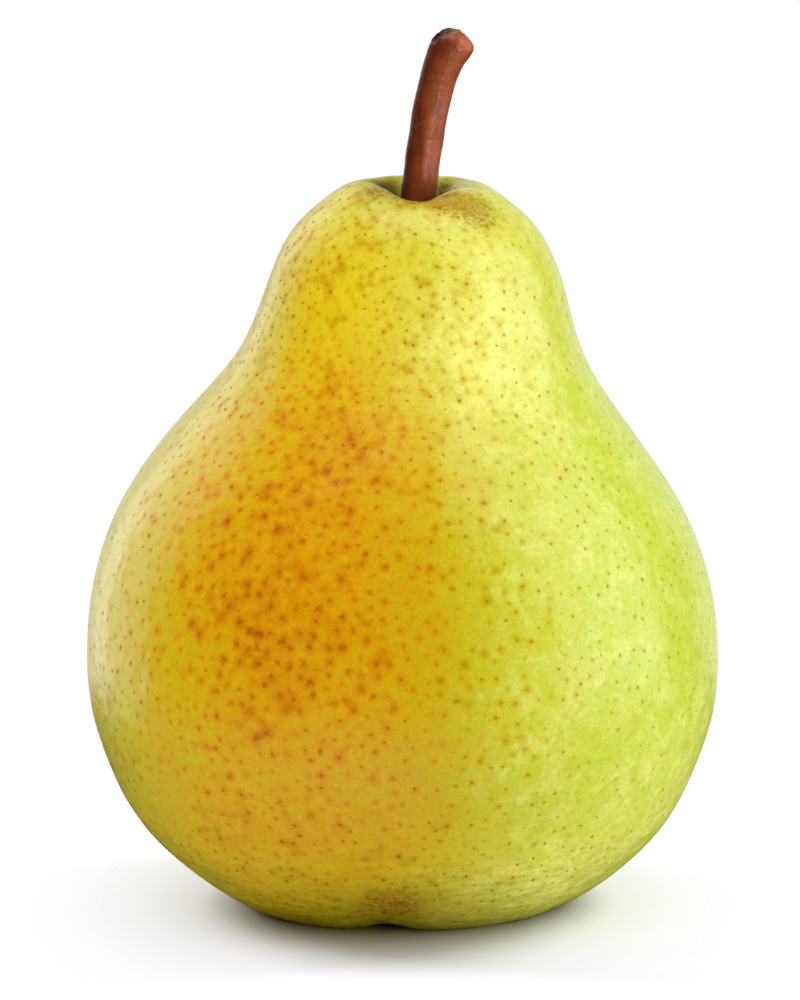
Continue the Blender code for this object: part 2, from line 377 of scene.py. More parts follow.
def add_piece(name, mesh, material, slot, *stands_for):
    """Put a piece into the scene in place of the CAD solids that it stands for."""
    piece = bpy.data.objects.new(name, mesh)
    bpy.context.scene.collection.objects.link(piece)
    mesh.materials.append(material)
    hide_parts(*stands_for)
    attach(piece, BODY)
    return piece


# ---------------------------------------------------------------- node trees


class Nodes:
    """A short way to write a material's node tree."""

    def __init__(self, name):
        self.material = bpy.data.materials.new(name)
        self.material.use_nodes = True
        self.tree = self.material.node_tree
        self.shader = self.tree.nodes["Principled BSDF"]

    def put(self, socket, value):
        if isinstance(value, bpy.types.NodeSocket):
            self.tree.links.new(value, socket)
        else:
            socket.default_value = value

    def add(self, kind, output=0, inputs=(), **settings):
        node = self.tree.nodes.new(kind)
        for name, value in settings.items():
            setattr(node, name, value)
        for name, value in dict(inputs).items():
            if value is not None:
                self.put(node.inputs[name], value)
        return node.outputs[output]

    def maths(self, operation, first, second=None, third=None):
        inputs = {0: first, 1: second, 2: third}
        return self.add("ShaderNodeMath", 0, inputs, operation=operation)

    def product(self, *values):
        result = values[0]
        for value in values[1:]:
            result = self.maths("MULTIPLY", result, value)
        return result

    def vectors(self, operation, first, second=None, scale=None, output="Vector"):
        inputs = {0: first, 1: second, "Scale": scale}
        return self.add("ShaderNodeVectorMath", output, inputs, operation=operation)

    def between(self, value, low, high, to_low=0.0, to_high=1.0, smooth=True):
        """Carry the range from low to high over to another range, and stay inside it."""
        kind = "SMOOTHSTEP" if smooth else "LINEAR"
        inputs = {"Value": value, "From Min": low, "From Max": high}
        inputs.update({"To Min": to_low, "To Max": to_high})
        return self.add("ShaderNodeMapRange", 0, inputs, interpolation_type=kind, clamp=True)

    def mix(self, share, first, second, blend="MIX"):
        node = self.tree.nodes.new("ShaderNodeMix")
        node.data_type = "RGBA"
        node.blend_type = blend
        node.clamp_factor = True
        self.put(node.inputs[0], share)
        self.put(node.inputs[6], first)
        self.put(node.inputs[7], second)
        return node.outputs[2]

    def noise(self, where, size, detail=2.0, roughness=0.5, output=0, distortion=0.0):
        """Noise whose waves are about size long."""
        inputs = {"Vector": where, "Scale": 1.0 / size, "Detail": detail}
        inputs.update({"Roughness": roughness, "Distortion": distortion})
        return self.add("ShaderNodeTexNoise", output, inputs)

    def swing(self, where, size, reach, detail=2.0, roughness=0.5):
        """Noise that swings from about -reach to reach."""
        value = self.noise(where, size, detail, roughness)
        return self.maths("MULTIPLY", self.maths("SUBTRACT", value, 0.5), 3.0 * reach)

    def ramp(self, share, stops):
        """A colour read off stops of (share, colour)."""
        node = self.tree.nodes.new("ShaderNodeValToRGB")
        self.put(node.inputs[0], share)
        marks = node.color_ramp.elements
        while len(marks) < len(stops):
            marks.new(0.5)
        for mark, (place, colour) in zip(marks, stops):
            mark.position = place
            mark.color = (*colour, 1.0)
        return node.outputs[0]

    def stored(self, name, output="Fac"):
        return self.add("ShaderNodeAttribute", output, attribute_name=name)

    def place(self):
        """Where a point is on the piece, in mm."""
        where = self.add("ShaderNodeTexCoord", "Object")
        return self.vectors("SCALE", where, scale=1.0 / MM)

    def total(self, *values):
        result = values[0]
        for value in values[1:]:
            result = self.maths("ADD", result, value)
        return result

    def bump(self, height):
        """Bump from a height in mm."""
        inputs = {"Height": height, "Distance": MM, "Strength": 1.0}
        self.put(self.shader.inputs["Normal"], self.add("ShaderNodeBump", 0, inputs))

    def set(self, **values):
        for name, value in values.items():
            self.put(self.shader.inputs[name.replace("_", " ")], value)


# ---------------------------------------------------------------- the skin

# The colour of the skin from the shaded green side, at 0, to the most sunned specks, at 1.2.
SKIN_COLOURS = [
    (0.0, (0.42, 0.50, 0.035)),
    (0.2, (0.47, 0.475, 0.030)),
    (0.4, (0.53, 0.430, 0.012)),
    (0.55, (0.58, 0.385, 0.004)),
    (0.7, (0.60, 0.300, 0.001)),
    (0.85, (0.55, 0.205, 0.001)),
    (1.0, (0.45, 0.125, 0.001)),
    (1.2, (0.30, 0.055, 0.001)),
]
# The sun has reached the left of the pear, and the shade has kept its right green.
SUNNY_SIDE = 0.40
SHADY_SIDE = 0.03
SHADE_STARTS = -10.0
SHADE_FULL = 34.0
# Where the sun has changed the skin further: (middle, reach along x, y and z, change).
SUN_SPOTS = [
    ((-12.0, -30.0, 38.0), (18.0, 24.0, 30.0), 0.45),
    ((-7.0, -19.0, 58.0), (8.0, 10.0, 7.0), 0.12),
    ((3.0, -32.0, 19.0), (9.0, 12.0, 14.0), 0.06),
    ((-3.0, -25.0, 53.0), (9.0, 10.0, 7.0), 0.05),
    ((-8.0, -15.0, 67.0), (6.0, 9.0, 7.0), 0.05),
]
# Where the skin is paler, and there partly a painted highlight, more golden, russet, duller and browner, or
# darkened by painted shade deep in
# the stem cavity: (middle, reach along x, y and z, share).
SKIN_SPOTS = {
    # Paler skin mixed with a painted highlight: low on the right, on the right of the neck and on the
    # cavity's left rim.
    "pale": [
        ((16.0, -20.0, 5.0), (12.0, 12.0, 6.0), 0.35),
        ((30.0, -12.0, 14.0), (8.0, 14.0, 9.0), 0.28),
        ((7.5, -17.0, 66.0), (8.0, 13.0, 9.0), 0.52),
        ((-6.5, -6.0, 79.0), (6.0, 5.0, 4.0), 0.25),
    ],
    "golden": [((-6.0, -13.0, 69.0), (9.0, 9.0, 8.0), 0.45)],
    "russet": [
        ((7.0, -7.5, 79.8), (5.5, 3.2, 2.3), 0.54),
        ((1.5, -6.8, 79.3), (4.0, 2.5, 1.6), 0.32),
        ((8.0, -9.5, 77.0), (5.0, 3.5, 2.4), 0.27),
        ((-3.8, -5.5, 80.5), (1.6, 2.0, 0.9), 0.36),
        ((-1.5, -0.5, 79.6), (2.0, 5.0, 2.0), 0.46),
        ((4.6, 2.7, 79.4), (1.3, 2.4, 1.8), 0.50),
        ((-1.2, -25.0, 3.8), (5.4, 6.0, 4.2), 0.50),
        ((0.6, -0.8, 6.5), (7.0, 7.0, 3.5), 0.44),
    ],
    "bronze": [
        ((2.5, -30.0, 36.0), (9.5, 16.0, 28.0), 0.95),
        ((-1.0, -30.0, 18.0), (15.0, 18.0, 10.0), 0.30),
    ],
    # Painted shade deep in the stem cavity, darkest on its left wall.
    "deep": [
        ((-1.6, 0.0, 79.4), (2.6, 5.5, 2.4), 1.5),
        ((4.4, 2.4, 79.2), (1.4, 2.8, 1.8), 0.6),
    ],
}
# The base of the pear is below the first height, and gives way to the belly up to the second.
LOW_HEIGHTS = (3.0, 22.0)
# The skin's own colours, the bloom mixed with painted sheen, the pale colour with a painted highlight, the
# painted cavity shade, and the ones that its colour is multiplied by.
BLOOM_AND_SHEEN = (0.62, 0.62, 0.16, 1.0)
PALE_SKIN_AND_HIGHLIGHT = (0.86, 0.83, 0.24, 1.0)
GOLDEN_SKIN = (0.95, 0.72, 0.01, 1.0)
PAINTED_CAVITY_SHADE = (0.10, 0.07, 0.008, 1.0)
DOT_ON_GREEN = (0.18, 0.10, 0.002, 1.0)
DOT_ON_BLUSH = (0.26, 0.035, 0.001, 1.0)
BY_BRONZE = (0.84, 0.78, 0.4, 1.0)
BY_HALO = (0.70, 0.56, 0.1, 1.0)
GRAIN_COLOURS = [(0.3, (0.88, 0.88, 0.8)), (0.7, (1.07, 1.07, 1.1))]
RING_COLOURS = [(0.35, (0.88, 0.83, 0.66)), (0.6, (1.06, 1.06, 1.1))]
RUSSET_COLOURS = [(0.4, (0.86, 0.60, 0.85)), (0.62, (0.48, 0.24, 0.35))]
RUSSET_SHARE = 0.85

# Pores are picked from random candidates that keep this gap to the ones before them.
PORES = 6400
PORE_GAP = 1.25
PORE_CANDIDATES = 60000
PORE_SEED = 11
# The pores are closer together on the sunny side of the neck and round the base.
CROWDING_ON_NECK = 0.9
CROWDING_ON_BASE = 0.4
# Each place on the skin knows this many of the nearest pores.
NEAREST_PORES = 3
# The smallest halo and dot, and how much larger the largest are, as distances from the pore.
HALO_REACH = 0.7
HALO_REACH_SPREAD = 0.8
DOT_REACH = 0.22
DOT_REACH_SPREAD = 0.12
# Where halos overlap they add up, but no further than this.
DARKEST_HALO = 1.1


def spread_stops(stops):
    """Stops whose places run from 0 to 1."""
    last = stops[-1][0]
    return [(place / last, colour) for place, colour in stops]


def fruit_section():
    """The half section at rings close enough to keep the faces nearly square."""
    fine = np.linspace(0, len(FRUIT_OUTLINE) - 1, SECTION_SAMPLES)
    curve = natural_spline(FRUIT_OUTLINE, fine)
    steps = np.linalg.norm(np.diff(curve, axis=0), axis=1)
    square = 2 * math.pi * curve[:-1, 0] / FRUIT_SIDES
    rings_so_far = np.cumsum(steps / np.clip(square, FINEST_RING, COARSEST_RING))
    rings_so_far = np.concatenate([[0.0], rings_so_far])
    rings = np.arange(1, int(rings_so_far[-1]))
    return natural_spline(FRUIT_OUTLINE, np.interp(rings, rings_so_far, fine))


def fruit_grid():
    """The skin as rings of points: waves and dents aside, then furrows, folds and rim upwards."""
    radius, height = (column[:, None] for column in fruit_section().T)
    azimuth = round_angles(FRUIT_SIDES, SEAM)[None, :]
    on_the_body = fade(radius, WAVES_START, WAVES_FULL)
    spread = radius + 0 * azimuth
    for depth, waves, turn, phase in SKIN_WAVES:
        spread = spread + on_the_body * depth * np.sin(waves * azimuth + turn * height + phase)
    dented = fade(spread, *DENT_RADII) * (1 - fade(height, *DENT_HEIGHTS))
    spread = spread - DENT_SHARE * dented * furrow_lift(azimuth, DENT_HALF_WIDTH)

    underneath = 1 - fade(height, *UNDERNEATH)
    at_the_foot = underneath * np.exp(-(((spread - FURROW_RADIUS) / FURROW_REACH) ** 2))
    in_the_basin = underneath * fade(spread, *BASIN_INNER) * (1 - fade(spread, *BASIN_OUTER))
    beside_stem = fade(height, *RIM_HEIGHTS) * fade(spread, *RIM_RADII)
    at_the_rim = beside_stem * np.exp(-(((spread - RIM_RADIUS) / RIM_REACH) ** 2))
    in_the_cavity = fade(height, *CAVITY_HEIGHTS) * fade(spread, *CAVITY_INNER)
    in_the_cavity = in_the_cavity * (1 - fade(spread, *CAVITY_OUTER))
    rim = hump(azimuth, *RIM_SWELLING) + hump(azimuth, *RIM_DIP)
    lifted = height + at_the_foot * furrow_lift(azimuth, FURROW_HALF_WIDTH) + at_the_rim * rim
    lifted = lifted + in_the_basin * folds(azimuth, BASIN_FOLDS)
    lifted = lifted + in_the_cavity * folds(azimuth, CAVITY_FOLDS)

    grid = about_middle_line(spread, azimuth, height + 0 * azimuth, lifted)
    relief = layered_noise(grid, FLESH_LUMPS) * fade(spread, *FLESH_LUMPS_RADII)
    grid = grid + grid_normals(grid) * relief[..., None]
    grid[..., 2] = np.maximum(grid[..., 2], 0.0)
    return grid


def line_up_with_cad(grid):
    """How far the pear moves sideways to stand where the CAD fruit stands."""
    low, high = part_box("fruit")
    points = grid.reshape(-1, 3)
    middle = (points.min(axis=0) + points.max(axis=0)) / 2
    x = (low.x + high.x) / 2 / MM - middle[0]
    y = (low.y + high.y) / 2 / MM - middle[1]
    return np.array([x, y, 0.0])


def spread_spots(points, spots):
    """Soft spots of (middle, reach along x, y and z, height), added up at each point."""
    field = np.zeros(len(points))
    for middle, reach, height in spots:
        away = (points - np.array(middle)) / np.array(reach)
        field += height * np.exp(-(away**2).sum(axis=1))
    return field


def sunned(points):
    """How far the sun has turned the skin at each point, from 0 to 1."""
    shade = fade(points[:, 0], SHADE_STARTS, SHADE_FULL)
    return SUNNY_SIDE + (SHADY_SIDE - SUNNY_SIDE) * shade + spread_spots(points, SUN_SPOTS)


def pore_places(corners):
    """Random places on the skin for its pores, none of them too close to another."""
    chance = np.random.default_rng(PORE_SEED)
    spans = corners[:, 1] - corners[:, 0], corners[:, 3] - corners[:, 0]
    areas = np.linalg.norm(np.cross(*spans), axis=1)
    height = corners[..., 2].mean(axis=1)
    sunny = 1 - fade(corners[..., 0].mean(axis=1), -2.0, 14.0)
    crowding = 1.0 + CROWDING_ON_NECK * sunny * fade(height, 50.0, 66.0)
    crowding += CROWDING_ON_BASE * (1 - fade(height, 2.0, 16.0))
    weights = areas * crowding
    gaps = PORE_GAP / np.sqrt(crowding)
    picks = chance.choice(len(corners), PORE_CANDIDATES, p=weights / weights.sum())
    across, up = chance.random((2, PORE_CANDIDATES, 1))
    low = corners[picks, 0] * (1 - across) + corners[picks, 1] * across
    high = corners[picks, 3] * (1 - across) + corners[picks, 2] * across
    candidates = low * (1 - up) + high * up
    cells = {}
    places = []
    for place, gap in zip(candidates, gaps[picks]):
        cell = tuple(np.floor(place / PORE_GAP).astype(int))
        near = (
            other
            for x in (-1, 0, 1)
            for y in (-1, 0, 1)
            for z in (-1, 0, 1)
            for other in cells.get((cell[0] + x, cell[1] + y, cell[2] + z), ())
        )
        if all(math.dist(place, other) >= gap for other in near):
            cells.setdefault(cell, []).append(place)
            places.append(place)
        if len(places) == PORES:
            break
    return places


def nearest_pores(centres, places, count):
    """The nearest pores to each centre, the nearest first."""
    tree = kdtree.KDTree(len(places))
    for number, place in enumerate(places):
        tree.insert(place, number)
    tree.balance()
    found = np.empty((len(centres), count, 3))
    for number, centre in enumerate(centres):
        for rank, (place, _, _) in enumerate(tree.find_n(centre, count)):
            found[number, rank] = place
    return found


def add_pore(n, where, bent, rank):
    """The soft halo and the small dark dot of one of the nearest pores."""
    pore = n.stored(f"pore_{rank}", "Vector")
    chances = n.add("ShaderNodeTexWhiteNoise", "Color", {"Vector": pore}, noise_dimensions="3D")
    split = n.tree.nodes.new("ShaderNodeSeparateColor")
    n.put(split.inputs[0], chances)
    size, weight, kind = split.outputs

    away = n.vectors("DISTANCE", bent, pore, output="Value")
    reach = n.maths("MULTIPLY_ADD", size, HALO_REACH_SPREAD, HALO_REACH)
    halo = n.between(away, n.product(reach, -0.35), reach, 1.0, 0.0)
    halo = n.product(halo, n.maths("MULTIPLY_ADD", weight, 0.85, 0.35))

    straight = n.vectors("DISTANCE", where, pore, output="Value")
    edge = n.maths("MULTIPLY_ADD", size, DOT_REACH_SPREAD, DOT_REACH)
    dot = n.between(straight, n.product(edge, 0.05), edge, 1.0, 0.0)
    dot = n.product(dot, n.maths("MULTIPLY_ADD", n.maths("POWER", kind, 1.6), 1.0, 0.1))
    return halo, dot


def add_pores(n, where):
    """The halos and the dots of the nearest pores, laid over each other."""
    wander = n.noise(where, 0.7, 2.0, 0.5, output=1)
    wander = n.vectors("SCALE", n.vectors("SUBTRACT", wander, (0.5, 0.5, 0.5)), scale=0.9)
    bent = n.vectors("ADD", where, wander)
    pores = [add_pore(n, where, bent, rank + 1) for rank in range(NEAREST_PORES)]
    halos, dots = zip(*pores)
    dot = dots[0]
    for other in dots[1:]:
        dot = n.maths("MAXIMUM", dot, other)
    return n.maths("MINIMUM", n.total(*halos), DARKEST_HALO), dot


def sun_on_skin(n, where):
    """The sun's slow change of the skin, broken up at three sizes, and where the skin blushes."""
    turned = n.total(
        n.stored("sunned"),
        n.swing(where, 13.0, 0.05, detail=1.0),
        n.swing(where, 4.0, 0.05, detail=2.0),
        n.swing(where, 1.3, 0.05, detail=2.0, roughness=0.6),
    )
    blushing = n.between(turned, 0.40, 0.75)
    return n.maths("MULTIPLY_ADD", blushing, 0.08, turned), blushing


def ripened(n, where, turned, blushing, halo):
    """A halo looks more sunned than the skin between the halos, and fine pale veins less."""
    reddened = n.product(
        n.maths("SUBTRACT", halo, 0.45),
        n.between(blushing, 0.0, 1.0, 0.20, 0.36),
        n.between(n.stored("low"), 0.0, 0.4, 1.0, 0.1),
    )
    vein = n.noise(where, 1.6, 2.0, 0.5, distortion=0.8)
    vein = n.between(n.maths("ABSOLUTE", n.maths("SUBTRACT", vein, 0.5)), 0.0, 0.09, -0.06, 0.0)
    return n.total(turned, reddened, vein)


def add_bloom_and_sheen(n, where, colour, turned):
    """Paler, cloudy streaks of bloom and painted sheen, then the paler parts of the skin with a painted
    highlight, and the more golden parts.
    """
    # Cloudy streaks of real bloom and painted sheen on the greener skin.
    cloud = n.noise(where, 2.6, 4.0, 0.62, distortion=0.6)
    cloudy = n.product(n.between(cloud, 0.42, 0.72), n.between(turned, 0.15, 0.38, 0.45, 0.0))
    colour = n.mix(cloudy, colour, BLOOM_AND_SHEEN)
    # Paler skin together with a painted highlight.
    paled = n.product(n.stored("pale"), n.between(cloud, 0.25, 0.75, 0.5, 1.5))
    colour = n.mix(paled, colour, PALE_SKIN_AND_HIGHLIGHT)
    return n.mix(n.stored("golden"), colour, GOLDEN_SKIN)


def add_halos(n, colour, halo, blushing):
    """The skin round a pore is darker and browner, and less so where the halo has reddened."""
    lower = n.between(n.stored("low"), 0.0, 0.4)
    unreddened = n.maths("MAXIMUM", n.between(blushing, 0.0, 1.0, 1.0, 0.2), lower)
    dimmed = n.between(n.stored("sunned"), 0.1, 0.4, 0.3, 0.85)
    dimmed = n.product(dimmed, unreddened, n.between(halo, 0.15, DARKEST_HALO))
    return n.mix(dimmed, colour, BY_HALO, "MULTIPLY")


def add_grain(n, where, colour):
    """Fine grain all over, and level rings of it round the base."""
    grain = n.ramp(n.noise(where, 0.45, 3.0, 0.65), GRAIN_COLOURS)
    colour = n.mix(1.0, colour, grain, "MULTIPLY")
    ring = n.noise(n.vectors("MULTIPLY", where, (0.35, 0.35, 2.6)), 1.4, 3.0, 0.6)
    ringed = n.mix(1.0, colour, n.ramp(ring, RING_COLOURS), "MULTIPLY")
    return n.mix(n.between(n.stored("low"), 0.3, 1.0), colour, ringed)


def add_russet(n, where, colour):
    """The colour with russet on it, and where the russet is."""
    speckle = n.noise(where, 0.45, 3.0, 0.7)
    russet = n.between(n.maths("ADD", n.stored("russet"), speckle), 0.72, 1.0)
    rusty = n.mix(1.0, colour, n.ramp(speckle, RUSSET_COLOURS), "MULTIPLY")
    return n.mix(n.product(russet, RUSSET_SHARE), colour, rusty), russet


def add_dots(n, colour, dot, blushing):
    """The small dark dots in the middle of the halos."""
    dotted = n.product(
        dot,
        n.between(blushing, 0.0, 1.0, 0.72, 0.6),
        n.between(n.stored("low"), 0.0, 1.0, 1.0, 1.6),
    )
    return n.mix(dotted, colour, n.mix(blushing, DOT_ON_GREEN, DOT_ON_BLUSH))


def skin_gloss(n, where, halo, dot, dull):
    """How strongly the skin shines: in patches, less round a pore, and hardly where it is dull."""
    return n.product(
        n.between(n.noise(where, 1.7, 3.0, 0.6), 0.3, 0.7, 0.3, 0.6, smooth=False),
        n.between(dot, 0.0, 0.5, 1.0, 0.0),
        n.between(halo, 0.2, 1.0, 1.0, 0.6),
        n.between(dull, 0.0, 1.0, 1.0, 0.1),
    )


def skin_material():
    """Waxy skin: its colours and marks laid over each other in turn, and a gentle unevenness."""
    n = Nodes("pear_skin")
    where = n.place()
    halo, dot = add_pores(n, where)
    turned, blushing = sun_on_skin(n, where)
    turned = ripened(n, where, turned, blushing, halo)
    colour = n.ramp(n.maths("DIVIDE", turned, SKIN_COLOURS[-1][0]), spread_stops(SKIN_COLOURS))
    colour = n.mix(n.stored("bronze"), colour, BY_BRONZE, "MULTIPLY")
    colour = add_bloom_and_sheen(n, where, colour, turned)
    colour = add_halos(n, colour, halo, blushing)
    # Painted shade deep in the stem cavity.
    colour = n.mix(n.stored("deep"), colour, PAINTED_CAVITY_SHADE)
    colour = add_grain(n, where, colour)
    colour, russet = add_russet(n, where, colour)
    colour = add_dots(n, colour, dot, blushing)

    height = n.total(
        n.swing(where, 3.6, 0.07, detail=1.0),
        n.swing(where, 1.3, 0.018, detail=2.0),
        n.swing(where, 0.4, 0.002, detail=2.0),
        n.product(dot, -0.02),
    )
    n.bump(height)
    dull = n.maths("MAXIMUM", russet, n.stored("deep"))
    roughness = n.maths("MULTIPLY_ADD", dull, 0.3, n.total(n.swing(where, 2.2, 0.03), 0.26))
    gloss = skin_gloss(n, where, halo, dot, dull)
    n.set(Base_Color=colour, Roughness=roughness, Specular_IOR_Level=gloss)
    return n.material


def make_skin():
    """The fruit's skin, and how far the pear moves to stand where its CAD solids stand."""
    grid = fruit_grid()
    aside = line_up_with_cad(grid)
    grid = grid + aside
    mesh = grid_mesh("pear_skin", grid)
    unwrap_grid(mesh, grid)
    points = read_places(mesh.vertices, "co")
    give_value(mesh, "sunned", "POINT", sunned(points))
    for name, spots in SKIN_SPOTS.items():
        give_value(mesh, name, "POINT", spread_spots(points, spots))
    give_value(mesh, "low", "POINT", 1 - fade(points[:, 2], *LOW_HEIGHTS))

    following = np.roll(grid, -1, axis=1)
    corners = np.stack([grid[:-1], following[:-1], following[1:], grid[1:]], axis=2).reshape(-1, 4, 3)
    centres = read_places(mesh.polygons, "center")
    found = nearest_pores(centres, pore_places(corners), NEAREST_PORES)
    for rank in range(NEAREST_PORES):
        give_value(mesh, f"pore_{rank + 1}", "FACE", found[:, rank])
    return add_piece("pear_skin", mesh, skin_material(), "skin", "fruit"), aside


# ---------------------------------------------------------------- the stem


def swept_grid(line, ring_points):
    """Rings across a centre line; ring_points gives (right, back) for a share of its length."""
    rings = []
    ahead = directions(line)
    right = np.cross([0.0, 1.0, 0.0], ahead)
    right /= np.linalg.norm(right, axis=1)[:, None]
    back = np.cross(ahead, right)
    for i, middle in enumerate(line):
        across, deep = ring_points(i / (len(line) - 1))
        rings.append(middle + np.outer(across, right[i]) + np.outer(deep, back[i]))
    return np.array(rings)


def stem_grid():
    """The bark as rings of points up to the broken end, and over it to its middle."""
    line = natural_spline(STEM_LINE, np.linspace(0, len(STEM_LINE) - 1, STEM_RINGS))
    azimuth = round_angles(STEM_SIDES, SEAM)
    towards_left = ((1 - np.cos(azimuth)) / 2) ** 1.5

    def ring_points(share):
        radius = read_off(STEM_RADII, share) + hump(azimuth, *HEEL) * fade(share, BARK_SWELL_STARTS, 1.0)
        narrowed = SHOULDER_NARROWING * towards_left * fade(share, SHOULDER_STARTS, 1.0)
        radius = radius * (1 - narrowed)
        for depth, ridges, turn, phase in BARK_RIDGES:
            radius = radius + depth * np.sin(ridges * azimuth + turn * share * 2 + phase)
        return radius * np.cos(azimuth), radius * np.sin(azimuth)

    grid = swept_grid(line, ring_points)
    ahead = directions(line)
    drop = SHOULDER_DROP * towards_left
    last = grid[-1]
    middle = last.mean(axis=0)
    lowered = fade(np.linspace(0, 1, STEM_RINGS), SHOULDER_STARTS, 1.0)[:, None] * drop
    grid = grid - lowered[..., None] * ahead[:, None, :]
    end = [
        middle + (last - middle) * share + np.outer(height - drop * fade(share, *SHOULDER_RADII), ahead[-1])
        for share, height in STEM_END
    ]
    grid = np.concatenate([grid, end])
    worn = layered_noise(grid, BARK_WEAR)
    worn += fade(grid[..., 2], *BREAK_HEIGHTS) * layered_noise(grid, BREAK_WEAR)
    return grid + grid_normals(grid) * worn[..., None]


def stem_material():
    """Red-brown bark with long streaks, darker at its foot."""
    n = Nodes("stem_bark")
    where = n.place()
    along = n.vectors("MULTIPLY", where, (1.0, 1.0, 0.1))
    across = n.vectors("MULTIPLY", where, (0.3, 0.3, 1.6))
    tone = n.total(
        n.swing(along, 1.1, 0.14, detail=2.0),
        n.swing(along, 0.3, 0.09, detail=3.0, roughness=0.6),
        n.swing(where, 2.2, 0.14),
        n.swing(where, 0.55, 0.10, detail=4.0, roughness=0.7),
        n.between(n.vectors("DISTANCE", where, STEM_FOOT, output="Value"), 1.0, 9.0, 0.38, 0.52),
    )
    colour = n.ramp(tone, BARK_COLOURS)

    # The heel is a fresh red brown, and the torn top is dark with pale flecks.
    heel = n.vectors("DISTANCE", where, STEM_HEEL_SPOT, output="Value")
    heel = n.maths("ADD", heel, n.swing(where, 0.8, 0.4))
    colour = n.mix(n.between(heel, 0.4, 1.7, 0.8, 0.0), colour, HEEL_COLOUR)
    torn = n.vectors("DISTANCE", where, STEM_TORN_SPOT, output="Value")
    torn = n.maths("ADD", torn, n.swing(where, 0.5, 0.35, detail=3.0))
    colour = n.mix(n.between(torn, 0.8, 1.5, 0.9, 0.0), colour, TORN_COLOUR)
    fleck = n.between(n.noise(where, 0.32, 2.0), 0.6, 0.68)
    fleck = n.product(fleck, n.between(torn, 1.0, 1.9, 0.75, 0.0))
    colour = n.mix(fleck, colour, FLECK_COLOUR)

    # The left side is darker and more purple: painted shade and a dim painted purple sheen.
    colour = n.mix(n.stored("painted_left_shade"), colour, n.mix(1.0, colour, BY_PAINTED_LEFT_SHADE, "MULTIPLY"))

    height = n.total(
        n.swing(along, 0.7, 0.012, detail=2.0),
        n.swing(where, 1.2, 0.02),
        n.swing(where, 0.25, 0.002),
        n.swing(across, 0.35, 0.012, detail=2.0),
        n.product(n.between(torn, 0.8, 1.6, 1.0, 0.0), n.swing(where, 0.35, 0.03, detail=3.0)),
    )
    n.bump(height)
    roughness = n.total(n.swing(where, 0.9, 0.06), n.between(torn, 0.8, 1.6, 0.65, 0.42))
    n.set(Base_Color=colour, Roughness=roughness, Specular_IOR_Level=0.5)
    return n.material


def make_stem(aside):
    """The stem, with its left side marked for the painted shade and purple sheen there."""
    grid = stem_grid() + aside
    mesh = grid_mesh("woody_stem", grid)
    unwrap_grid(mesh, grid)
    points = read_places(mesh.vertices, "co")
    rings = grid.mean(axis=1)
    middle = np.interp(points[:, 2], rings[:STEM_RINGS, 2], rings[:STEM_RINGS, 0])
    # Marks the stem's left side for its painted shade and painted sheen.
    give_value(mesh, "painted_left_shade", "POINT", fade(middle - points[:, 0], *LEFT_SIDE))
    return add_piece("woody_stem", mesh, stem_material(), "stem_bark", "stem")


# ---------------------------------------------------------------- the calyx


def sepal_grid(number):
    """One sepal as rings of points, from its foot out to its curled tip."""
    turn, length = SEPAL_HABITS[number]
    where = np.linspace(0, (len(SEPAL_LINE) - 1) * length, SEPAL_RINGS)
    section = natural_spline(SEPAL_LINE, where)
    line = np.stack([section[:, 0], 0 * section[:, 0], section[:, 1]], axis=1)
    around = round_angles(SEPAL_SIDES)

    def ring_points(share):
        width = read_off(SEPAL_WIDTHS, share) / 2
        thickness = SEPAL_THICKNESS / 2 * (1 - 0.5 * share)
        cupped = SEPAL_CUPPING * width * np.sin(around) ** 2
        curl = SEPAL_CURL * np.sin(9 * share + 5 * np.sin(around) + number)
        return thickness * np.cos(around) - cupped + curl * share, width * np.sin(around)

    azimuth = FIRST_SEPAL + number * 2 * math.pi / SEPALS + turn
    out, aside, height = np.moveaxis(swept_grid(line, ring_points), -1, 0)
    swing = azimuth + np.arctan2(aside, out)
    return about_middle_line(np.hypot(out, aside), swing, CALYX_LEVEL, height)


def dried_material(name, dark, light):
    """Dry, dull, crumpled leaf between two browns."""
    n = Nodes(name)
    where = n.place()
    tone = n.noise(where, 0.9, 4.0, 0.6)
    colour = n.ramp(tone, [(0.3, dark), (0.7, light)])
    n.bump(n.total(n.swing(where, 0.5, 0.03, detail=3.0), n.swing(where, 0.15, 0.008)))
    n.set(Base_Color=colour, Roughness=0.8, Specular_IOR_Level=0.3)
    return n.material


def make_sepals(aside):
    """The five dried sepals, one piece each."""
    dried = dried_material("dried_sepal", SEPAL_DARK, SEPAL_LIGHT)
    for number in range(SEPALS):
        name = f"dried_sepal_{number + 1}"
        mesh = grid_mesh(name, sepal_grid(number) + aside)
        yield add_piece(name, mesh, dried, "calyx", f"sepal_{number + 1}")


def filament_grid(number, chance):
    """One withered stamen as rings of points, from its root down to its thicker tip."""
    azimuth = number * FILAMENT_TURN + chance.uniform(-FILAMENT_TURN_ERROR, FILAMENT_TURN_ERROR)
    root = TUFT_RADIUS * math.sqrt((number + 0.5) / FILAMENTS)
    tip = root * chance.uniform(*TUFT_SPREAD)
    low = chance.uniform(*TUFT_LOW_ENDS)
    share = np.linspace(0, 1, FILAMENT_RINGS)
    radius = root + (tip - root) * share + 0.18 * np.sin(share * 5 + number)
    swing = azimuth + 0.25 * np.sin(share * 4 + number * 1.7)
    height = FILAMENT_ROOT + (low - FILAMENT_ROOT) * share
    line = about_middle_line(radius, swing, CALYX_LEVEL, height)
    thickness = FILAMENT_RADIUS * (1 - 0.45 * share + 0.75 * np.exp(-(((share - 0.95) / 0.06) ** 2)))
    thickness[-1] *= 0.5
    around = round_angles(FILAMENT_SIDES)

    def ring_points(at):
        wide = np.interp(at, share, thickness)
        return wide * np.cos(around), wide * np.sin(around)

    return swept_grid(line, ring_points)


